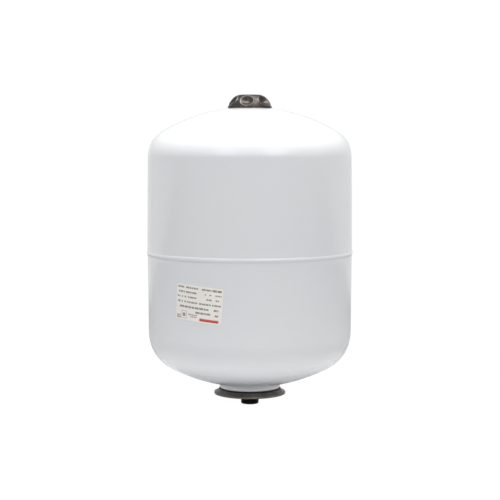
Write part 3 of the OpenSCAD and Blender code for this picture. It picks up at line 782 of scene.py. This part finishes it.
def valve_cover_mesh():
    """The cover: its rolled lip, the dimpled dome, the hub inside it and the dome's underside."""
    lip_top = cover_low_z + LIP_HEIGHT
    outer_first = math.asin((lip_top - dome_z) / DOME_R)
    inner_first = math.asin((cover_low_z - dome_z) / (DOME_R - COVER_T))
    outer = dome_line(0, outer_first, 74, 14, 12)
    inner = dome_line(COVER_T, inner_first, 40, 6, 1, HUB_R)[::-1]
    ceiling = cover_high_z - COVER_T
    lip = [(inner[-1][0] + 0.3 * MM, cover_low_z), (COVER_LIP_R - 0.5 * MM, cover_low_z),
           (COVER_LIP_R - 0.15 * MM, cover_low_z + 0.15 * MM), (COVER_LIP_R, cover_low_z + 0.5 * MM),
           (COVER_LIP_R, lip_top - 0.7 * MM), (COVER_LIP_R - 0.12 * MM, lip_top - 0.3 * MM),
           (COVER_LIP_R - 0.4 * MM, lip_top - 0.08 * MM), (COVER_LIP_R - 0.7 * MM, lip_top - 0.01 * MM)]
    hub = [(0, ceiling), (HUB_BORE_R - 0.6 * MM, ceiling), (HUB_BORE_R, ceiling - 0.6 * MM),
           (HUB_BORE_R, hub_z + 0.3 * MM), (HUB_BORE_R + 0.3 * MM, hub_z), (HUB_R - 0.4 * MM, hub_z),
           (HUB_R, hub_z + 0.4 * MM), (HUB_R, ceiling - 0.8 * MM)]
    outline = lip + outer + hub + inner
    face, under = dimpled(0), dimpled(COVER_T)
    kinds = [None] * len(lip) + [face] * len(outer) + [None] * len(hub) + [under] * len(inner)
    angles = np.arange(COVER_STEPS) * 2 * math.pi / COVER_STEPS
    points = []
    for (r, z), kind in zip(outline, kinds):
        for a in angles:
            r2, z2 = kind(r, z, a) if kind else (r, z)
            points.append((r2 * math.cos(a), r2 * math.sin(a), z2))
    return mesh_object("valve_cover", points, grid_faces(len(outline), COVER_STEPS, True, True),
                       50)


def mark_sheen_and_rub(piece):
    """Marks how much each point of the cover is lightened, partly for wear and partly as a painted
    highlight: most on the crests around the dimples.
    """
    marks = piece.data.attributes.new("rub_and_sheen", "FLOAT", "POINT")
    for point, mark in zip(piece.data.vertices, marks.data):
        x, y, z = point.co
        off = abs(dimple_offset(math.hypot(x, y), z, math.atan2(y, x)) - RIM_CREST_R)
        mark.value = max(0, 1 - off / SHEEN_RUB_W)
    return piece


placed(mark_sheen_and_rub(valve_cover_mesh()), "cover", "dark_cover", dark_cover, "valve_cover")


# ---------------------------------------------------------------- rating label
LABEL_GAP, INK_T = 0.02 * MM, 0.02 * MM      # the film of glue under the label, and the ink on it
SHORTEST_WORD = 1.2                          # in mm
label_top = LABEL_GAP + LABEL_T


def on_label(u, v, lift):
    """A point of the label: u to the right and v up from its middle, lift above the wall."""
    across = u * math.cos(LABEL_TILT) - v * math.sin(LABEL_TILT)
    z = label_z + u * math.sin(LABEL_TILT) + v * math.cos(LABEL_TILT)
    a = FRONT + LABEL_TURN + across / SHELL_R
    r = lower_form(LOWER_R, z, a)[0] + lift
    return r * math.cos(a), r * math.sin(a), z


def plate(rows, columns, low, high):
    """Closed faces of a thin plate from rows of (half width, v, centre u), between two lifts."""
    points = []
    for lift in (low, high):
        for half_w, v, middle in rows:
            points += [on_label(middle + half_w * (2 * k / columns - 1), v, lift)
                       for k in range(columns + 1)]
    n, m = len(rows), columns + 1
    faces = grid_faces(n, m, False, False)
    faces += [tuple(k + n * m for k in reversed(face)) for face in faces]
    rim = (list(range(m)) + [i * m + m - 1 for i in range(1, n)]
           + [(n - 1) * m + j for j in range(m - 2, -1, -1)] + [i * m for i in range(n - 2, 0, -1)])
    faces += [(rim[k], rim[(k + 1) % len(rim)], rim[(k + 1) % len(rim)] + n * m, rim[k] + n * m)
              for k in range(len(rim))]
    return points, faces


def corner_rows(side):
    """Rows across the label's rounded corners, for its lower (-1) or upper (1) edge."""
    angles = np.linspace(0.12, math.pi / 2, 7)
    rows = [(LABEL_W / 2 - LABEL_CORNER * (1 - math.cos(t)),
             side * (LABEL_H / 2 - LABEL_CORNER * (1 - math.sin(t))), 0) for t in angles]
    return rows if side > 0 else rows[::-1]


middle_rows = [(LABEL_W / 2, v, 0) for v in np.linspace(-1, 1, 20) * (LABEL_H / 2 - LABEL_CORNER)]
label_points, label_faces = plate(corner_rows(-1) + middle_rows + corner_rows(1), 60,
                                  LABEL_GAP, label_top)
rating_label = mesh_object("rating_label", label_points, label_faces)
placed(rating_label, "vessel", "label_film", label_film, "rating_label")


def printed_patches(name, patches, material):
    """Flat printed blocks on the label, from (left, right, top, bottom) in mm off its top left."""
    points, faces = [], []
    for left, right, top, bottom in patches:
        columns = max(1, round((right - left) / 2.5))
        half_w, middle = (right - left) / 2 * MM, (left + right) / 2 * MM - LABEL_W / 2
        rows = [(half_w, LABEL_H / 2 - v * MM, middle) for v in (bottom, top)]
        more, sides = plate(rows, columns, label_top, label_top + INK_T)
        faces += [tuple(len(points) + k for k in face) for face in sides]
        points += more
    placed(mesh_object(name, points, faces), "vessel", "label_film", material)


def words(rng, left, right, middle, height):
    """A run of word-like blocks standing for a line of small print, in mm off its top left."""
    size = height / 1.5
    blocks, at = [], left
    while at < right - SHORTEST_WORD:
        end = min(right, at + rng.uniform(1.4, 4.6) * size)
        if right - end < SHORTEST_WORD:
            end = right
        blocks.append((at, end, middle - height / 2, middle + height / 2))
        at = end + 0.55 * size
    return blocks


def small_print():
    """Lines of small print as plain blocks, with three solid blocks and an outlined square."""
    rng = random.Random(12)
    # Each line: its middle, its height, and where its runs begin and end
    lines = ((3.9, 2.3, ((2.5, 15), (17, 37), (43, 58))), (3.9, 2.9, ((59.5, 73),)),
             (10.4, 2.3, ((4, 15), (17, 35))), (10.4, 1.8, ((48, 50), (55, 58), (64, 73))),
             (17.2, 2.2, ((2, 7), (10, 12), (15, 18), (21, 35), (51, 59), (65, 70))),
             (24.1, 2.2, ((3, 8), (10, 12), (15, 18), (20, 37), (40, 58), (60, 73))),
             (31.0, 2.6, ((7, 55), (63, 70))), (37.2, 2.6, ((35, 58),)), (38.4, 2.4, ((65, 70),)),
             (41.2, 1.5, ((23, 38),)), (43.8, 1.5, ((27, 37),)))
    patches = [block for middle, height, runs in lines for left, right in runs
               for block in words(rng, left, right, middle, height)]
    patches += [(2.4, 9.4, 43.2, 44.6), (2.4, 5.6, 45.6, 48), (6.4, 9.4, 45.6, 48)]
    left, right, top, bottom, line, gap = 11, 20, 37, 47.6, 0.5, 0.01
    low, high = top + line + gap, bottom - line - gap
    patches += [(left, right, top, top + line), (left, right, bottom - line, bottom),
                (left, left + line, low, high), (right - line, right, low, high),
                (13.2, 17.8, 40, 44.6)]
    return patches


printed_patches("label_print", small_print(), grey_ink)
printed_patches("label_bar", [(42, 71, 44.4, 48.2)], red_ink)


# ---------------------------------------------------------------- stage and lights
FLOOR_HALF = 40
FLOOR_FADE = (0.12, 0.75)      # distances between which the floor fades into the white backdrop
FLOOR_FADE_LOW = 0.97          # share of plain white already at the vessel
FLOOR_FALL = (0.06, 0.36)      # distances between which the light it throws back falls off
FLOOR_TONE = (0.96, 0.42)      # its tone under the vessel and far away
FLOOR_BACK = (0.8, 1.6)        # behind here it lights the vessel's outline
FLOOR_BACK_GLOW = 0.8
BACKDROP_WHITE = 1.02
CEILING = 0.68
CEILING_EDGE = (0.0, 0.2)      # the heights between which the ceiling takes over from the horizon
HORIZON = (0.0, 0.9)           # strength of the horizon in front and behind
BEHIND = (0.12, 0.99, 0)       # where the horizon is brightest
MIDDLE = (0, 0, 0.23)


def join(tree, *pairs):
    """Links each output to its socket."""
    for output, socket in pairs:
        tree.links.new(output, socket)


def white_floor():
    """A pale floor: it takes soft shadows near the vessel and fades to the plain white backdrop.
    The camera sees through it from below."""
    material = bpy.data.materials.new("floor")
    material.use_nodes = True
    tree = material.node_tree
    lit = tree.nodes["Principled BSDF"]
    lit.inputs["Roughness"].default_value = 1
    lit.inputs["Specular IOR Level"].default_value = 0
    pale = tree.nodes.new("ShaderNodeBsdfDiffuse")
    pale.inputs["Color"].default_value = (0.9, 0.9, 0.9, 1)
    plain = glowing(tree, "ShaderNodeEmission", BACKDROP_WHITE)
    behind = glowing(tree, "ShaderNodeEmission", FLOOR_BACK_GLOW)
    place = tree.nodes.new("ShaderNodeTexCoord").outputs["Object"]
    split = tree.nodes.new("ShaderNodeSeparateXYZ")
    distance = tree.nodes.new("ShaderNodeVectorMath")
    distance.operation = "LENGTH"
    fade = map_range(tree, *FLOOR_FADE, FLOOR_FADE_LOW, 1, "SMOOTHSTEP")
    tone = map_range(tree, *FLOOR_FALL, *FLOOR_TONE, "SMOOTHSTEP")
    back = map_range(tree, *FLOOR_BACK, 0, 1, "SMOOTHSTEP")
    side = tree.nodes.new("ShaderNodeNewGeometry")
    clear = tree.nodes.new("ShaderNodeBsdfTransparent")
    seen = tree.nodes.new("ShaderNodeLightPath")
    shown, cast, faced, chosen = (tree.nodes.new("ShaderNodeMixShader") for _ in range(4))
    join(tree,
         (place, split.inputs[0]),
         (split.outputs["Y"], back.inputs["Value"]),
         (back.outputs["Result"], cast.inputs["Fac"]),
         (lit.outputs["BSDF"], cast.inputs[1]),
         (behind.outputs["Emission"], cast.inputs[2]),
         (place, distance.inputs[0]),
         (distance.outputs["Value"], fade.inputs["Value"]),
         (distance.outputs["Value"], tone.inputs["Value"]),
         (tone.outputs["Result"], lit.inputs["Base Color"]),
         (fade.outputs["Result"], shown.inputs["Fac"]),
         (pale.outputs["BSDF"], shown.inputs[1]),
         (plain.outputs["Emission"], shown.inputs[2]),
         (side.outputs["Backfacing"], faced.inputs["Fac"]),
         (shown.outputs["Shader"], faced.inputs[1]),
         (clear.outputs["BSDF"], faced.inputs[2]),
         (seen.outputs["Is Camera Ray"], chosen.inputs["Fac"]),
         (cast.outputs["Shader"], chosen.inputs[1]),
         (faced.outputs["Shader"], chosen.inputs[2]),
         (chosen.outputs["Shader"], tree.nodes["Material Output"].inputs["Surface"]))
    return material


floor = mesh_object("floor", [(x * FLOOR_HALF, y * FLOOR_HALF, 0)
                              for x, y in ((-1, -1), (1, -1), (1, 1), (-1, 1))], [(0, 1, 2, 3)])
floor.location.z = -0.2 * MM
floor.data.materials.append(white_floor())


def area_light(name, place, target, width, height, power, colour=(1, 1, 1)):
    """A soft box at a place, turned to face a target."""
    light = bpy.data.lights.new(name, "AREA")
    light.shape = "RECTANGLE"
    light.size, light.size_y = width, height
    light.energy = power
    light.color = colour
    holder = bpy.data.objects.new(name, light)
    holder.location = place
    holder.rotation_euler = (Vector(target) - Vector(place)).to_track_quat("-Z", "Y").to_euler()
    bpy.context.scene.collection.objects.link(holder)


area_light("top_box", (0, -0.22, 1.6), (0, 0, 0.4), width=1.4, height=1.1, power=28)
area_light("left_box", (-0.85, -1.6, 1.0), MIDDLE, width=0.8, height=0.7, power=1.7,
           colour=(0.97, 0.985, 1.0))
area_light("right_box", (0.85, -1.6, 1.0), MIDDLE, width=0.8, height=0.7, power=2.5,
           colour=(1.0, 0.99, 0.98))


def studio_world():
    """A bright ceiling over a dimmer horizon, which is brightest behind the vessel. The camera
    sees a plain white backdrop instead."""
    world = bpy.data.worlds.new("studio")
    world.use_nodes = True
    tree = world.node_tree
    place = tree.nodes.new("ShaderNodeTexCoord").outputs["Generated"]
    split = tree.nodes.new("ShaderNodeSeparateXYZ")
    rise = map_range(tree, *CEILING_EDGE, 0, 1, "SMOOTHSTEP")
    turn = tree.nodes.new("ShaderNodeVectorMath")
    turn.operation = "DOT_PRODUCT"
    turn.inputs[1].default_value = BEHIND
    around = map_range(tree, -1, 1, *HORIZON)
    horizon = tree.nodes["Background"]
    horizon.inputs["Color"].default_value = (0.98, 0.99, 1.0, 1)
    ceiling = glowing(tree, "ShaderNodeBackground", CEILING, (0.99, 0.995, 1.0))
    backdrop = glowing(tree, "ShaderNodeBackground", BACKDROP_WHITE)
    seen = tree.nodes.new("ShaderNodeLightPath")
    surround, chosen = (tree.nodes.new("ShaderNodeMixShader") for _ in range(2))
    join(tree,
         (place, split.inputs[0]),
         (split.outputs["Z"], rise.inputs["Value"]),
         (place, turn.inputs[0]),
         (turn.outputs["Value"], around.inputs["Value"]),
         (around.outputs["Result"], horizon.inputs["Strength"]),
         (rise.outputs["Result"], surround.inputs["Fac"]),
         (horizon.outputs["Background"], surround.inputs[1]),
         (ceiling.outputs["Background"], surround.inputs[2]),
         (seen.outputs["Is Camera Ray"], chosen.inputs["Fac"]),
         (surround.outputs["Shader"], chosen.inputs[1]),
         (backdrop.outputs["Background"], chosen.inputs[2]),
         (chosen.outputs["Shader"], tree.nodes["World Output"].inputs["Surface"]))
    return world


bpy.context.scene.world = studio_world()
